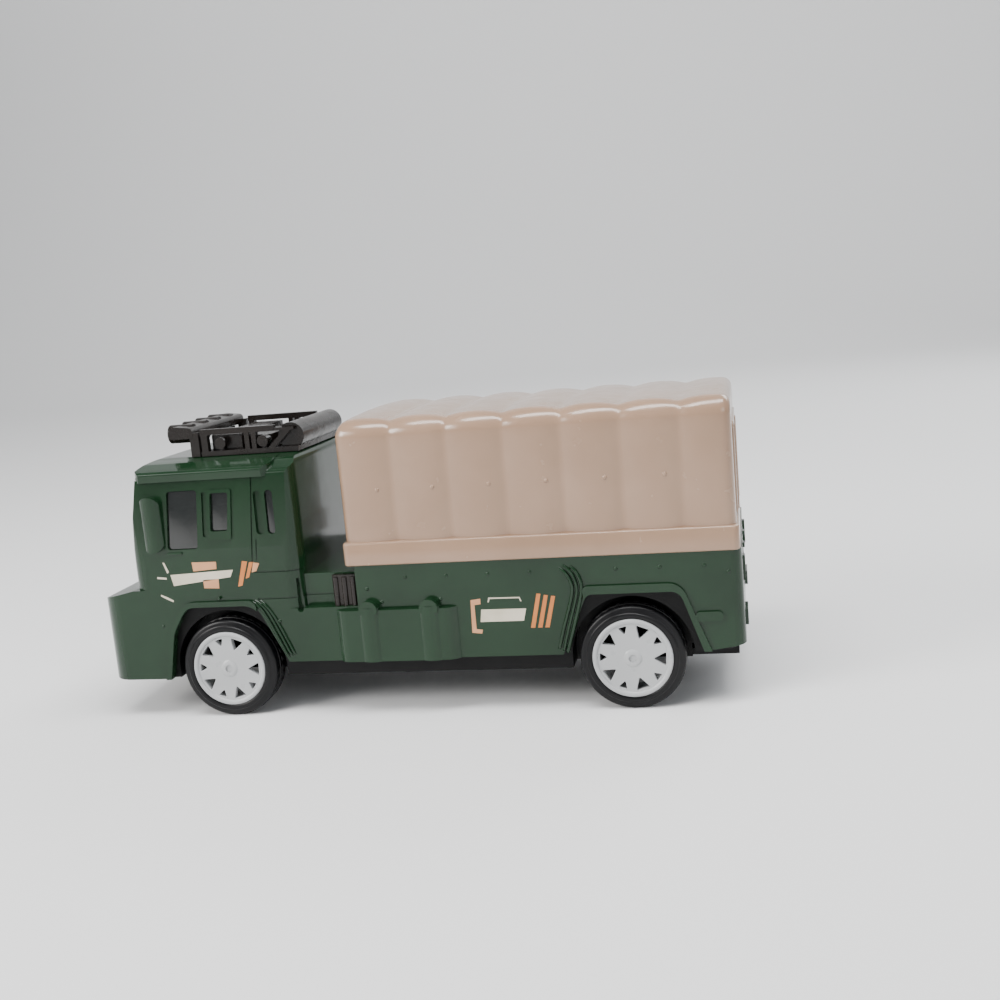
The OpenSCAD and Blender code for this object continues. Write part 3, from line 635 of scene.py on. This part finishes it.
cam = bpy.data.cameras.new("camera")
eye = bpy.data.objects.new("camera", cam)
link(eye)
yaw, pitch, roll = math.radians(11.975), math.radians(9.770), math.radians(-5.125)
c1, s1, cp, sp, cr, sr = math.cos(yaw), math.sin(yaw), math.cos(pitch), math.sin(pitch), math.cos(roll), math.sin(roll)
base = Matrix(((-1, 0, 0), (0, 0, -1), (0, -1, 0)))
turn = Matrix(((c1, 0, s1), (0, 1, 0), (-s1, 0, c1)))
tip = Matrix(((1, 0, 0), (0, cp, -sp), (0, sp, cp)))
bank = Matrix(((cr, -sr, 0), (sr, cr, 0), (0, 0, 1)))
R = bank @ tip @ turn @ base
eye.matrix_world = Matrix((
    (R[0][0], -R[1][0], -R[2][0], -0.08692),
    (R[0][1], -R[1][1], -R[2][1], 0.30967),
    (R[0][2], -R[1][2], -R[2][2], 0.10348),
    (0, 0, 0, 1)))
cam.lens = 1200 * 36 / 1000
cam.clip_start, cam.clip_end = 0.01, 20
scene.camera = eye

# pale floor that sweeps up into a backdrop far behind the truck
outline = [(7.0, 0.0)] + [(-1.1 - 0.6 * math.sin(math.radians(a)), 0.6 - 0.6 * math.cos(math.radians(a))) for a in range(0, 91, 6)] + [(-1.7, 7.0)]
fv, ff = [], []
for y, z in outline:
    fv += [(-9, y, z), (9, y, z)]
for i in range(len(outline) - 1):
    ff.append([2 * i, 2 * i + 1, 2 * i + 3, 2 * i + 2])
sweep = bpy.data.meshes.new("floor")
sweep.from_pydata(fv, [], ff)
for p in sweep.polygons:
    p.use_smooth = True
paper = bpy.data.materials.new("paper")
paper.use_nodes = True
paper.node_tree.nodes["Principled BSDF"].inputs["Base Color"].default_value = (0.80, 0.80, 0.80, 1)
paper.node_tree.nodes["Principled BSDF"].inputs["Roughness"].default_value = 0.9
sweep.materials.append(paper)
floor = bpy.data.objects.new("floor", sweep)
link(floor)

world = bpy.data.worlds.new("studio")
scene.world = world
world.use_nodes = True
world.node_tree.nodes["Background"].inputs["Color"].default_value = (0.93, 0.96, 1.0, 1)
world.node_tree.nodes["Background"].inputs["Strength"].default_value = 0.42


def softbox(name, at, to, sx, sy, power, colour=(1, 1, 1)):
    li = bpy.data.lights.new(name, "AREA")
    li.shape = "RECTANGLE"
    li.size, li.size_y = sx, sy
    li.energy = power
    li.color = colour
    o = bpy.data.objects.new(name, li)
    link(o)
    o.location = at
    o.rotation_euler = (Vector(to) - Vector(at)).to_track_quat("-Z", "Y").to_euler()


softbox("overhead", (-0.10, 0.16, 0.70), (-0.02, 0, 0.06), 0.75, 0.20, 7.5)
softbox("key", (0.85, 0.62, 0.52), (0, 0, 0.04), 0.5, 0.5, 11.0, (1.0, 0.98, 0.95))
softbox("pool", (0.30, 0.34, 0.26), (0.14, 0.16, 0.0), 0.20, 0.16, 0.45)
softbox("fill", (-0.75, 0.75, 0.45), (0, 0, 0.04), 0.6, 0.4, 2.0, (0.96, 0.98, 1.0))
softbox("rim", (-0.5, -0.7, 0.6), (0, 0, 0.04), 0.5, 0.4, 3.5, (0.95, 0.98, 1.0))
softbox("sweep", (0, -0.75, 1.5), (0, -1.7, 0.9), 2.2, 0.5, 16.0)
